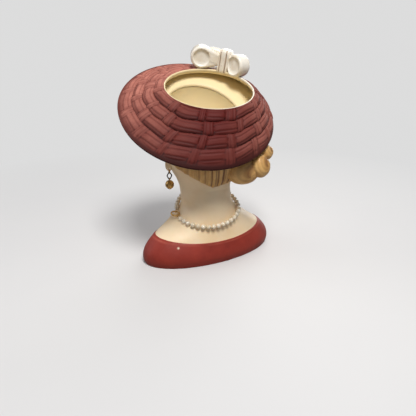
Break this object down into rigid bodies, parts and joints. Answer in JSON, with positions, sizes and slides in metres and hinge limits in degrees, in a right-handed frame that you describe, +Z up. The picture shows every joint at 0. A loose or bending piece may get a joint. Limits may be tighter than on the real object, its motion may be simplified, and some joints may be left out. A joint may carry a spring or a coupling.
{
  "type": "head planter",
  "caption": "Hollow ceramic bust of a woman in a tilted basket-weave hat, with a plant opening in the crown, a bow, hanging earrings and a pearl strand.",
  "frame": {"origin": "middle of the flat foot, on the surface that the planter stands on", "axes": "+Z up, shoulders along X with the figure's left at +X, chest towards -Y and back towards +Y"},
  "size_m": [0.1265, 0.1034, 0.1647],
  "materials": {
    "skin_glaze": "satin cream glaze",
    "dress_glaze": "matte burgundy paint on the glaze",
    "hat_glaze": "matte burgundy paint on a basket-weave relief",
    "hair_glaze": "satin golden blonde",
    "bow_glaze": "gloss cream white",
    "gold_metal": "worn gold plate",
    "link_metal": "dark tarnished",
    "pearl": "pearl lustre",
    "thread": "twisted thread"
  },
  "bodies": {
    "planter": {"head_casting": "skin_glaze", "shoulders": "skin_glaze", "left_ear": "skin_glaze", "right_ear": "skin_glaze", "dress": "dress_glaze", "hat_crown": "hat_glaze", "hat_underbrim": "hat_glaze", "hair_back": "hair_glaze", "hair_left_side": "hair_glaze", "hair_right_side": "hair_glaze", "hair_right_swell": "hair_glaze", "hair_right_curl": "hair_glaze", "hair_right_lock": "hair_glaze", "hair_fringe": "hair_glaze", "bow_left_loop": "bow_glaze", "bow_right_loop": "bow_glaze", "bow_knot": "bow_glaze", "bow_left_tail": "bow_glaze", "bow_right_tail": "bow_glaze"},
    "left_ear_ring": {"left_ear_ring": "gold_metal"},
    "left_link": {"left_link": "link_metal"},
    "left_drop": {"left_drop_pin": "gold_metal", "left_drop_bead": "gold_metal"},
    "right_ear_ring": {"right_ear_ring": "gold_metal"},
    "right_link": {"right_link": "link_metal"},
    "right_drop": {"right_drop_pin": "gold_metal", "right_drop_bead": "gold_metal"},
    "necklace": {"necklace_pearls": "pearl", "necklace_thread": "thread", "clasp_ring": "gold_metal", "clasp_eyes": "gold_metal"}
  },
  "joints": [
    {"name": "left_ring_swing", "type": "hinge", "parent": "planter", "child": "left_ear_ring", "pos_m": [0.03316, -0.00408, 0.0738], "axis": [0.2079, 0.9781, 0], "range_deg": [-40, 8]},
    {"name": "left_link_swing", "type": "hinge", "parent": "left_ear_ring", "child": "left_link", "pos_m": [0.03316, -0.00408, 0.0706], "axis": [0.2079, 0.9781, 0], "range_deg": [-40, 8]},
    {"name": "left_drop_swing", "type": "hinge", "parent": "left_link", "child": "left_drop", "pos_m": [0.03316, -0.00408, 0.06586], "axis": [0.9781, -0.2079, 0], "range_deg": [-50, 50]},
    {"name": "right_ring_swing", "type": "hinge", "parent": "planter", "child": "right_ear_ring", "pos_m": [-0.02553, 0.00839, 0.0738], "axis": [0.2079, 0.9781, 0], "range_deg": [-8, 40]},
    {"name": "right_link_swing", "type": "hinge", "parent": "right_ear_ring", "child": "right_link", "pos_m": [-0.02553, 0.00839, 0.0706], "axis": [0.2079, 0.9781, 0], "range_deg": [-8, 40]},
    {"name": "right_drop_swing", "type": "hinge", "parent": "right_link", "child": "right_drop", "pos_m": [-0.02553, 0.00839, 0.06586], "axis": [0.9781, -0.2079, 0], "range_deg": [-50, 50]},
    {"name": "necklace_lift", "type": "slide", "parent": "planter", "child": "necklace", "axis": [0, 0, 1], "range_m": [0, 0.006]}
  ]
}
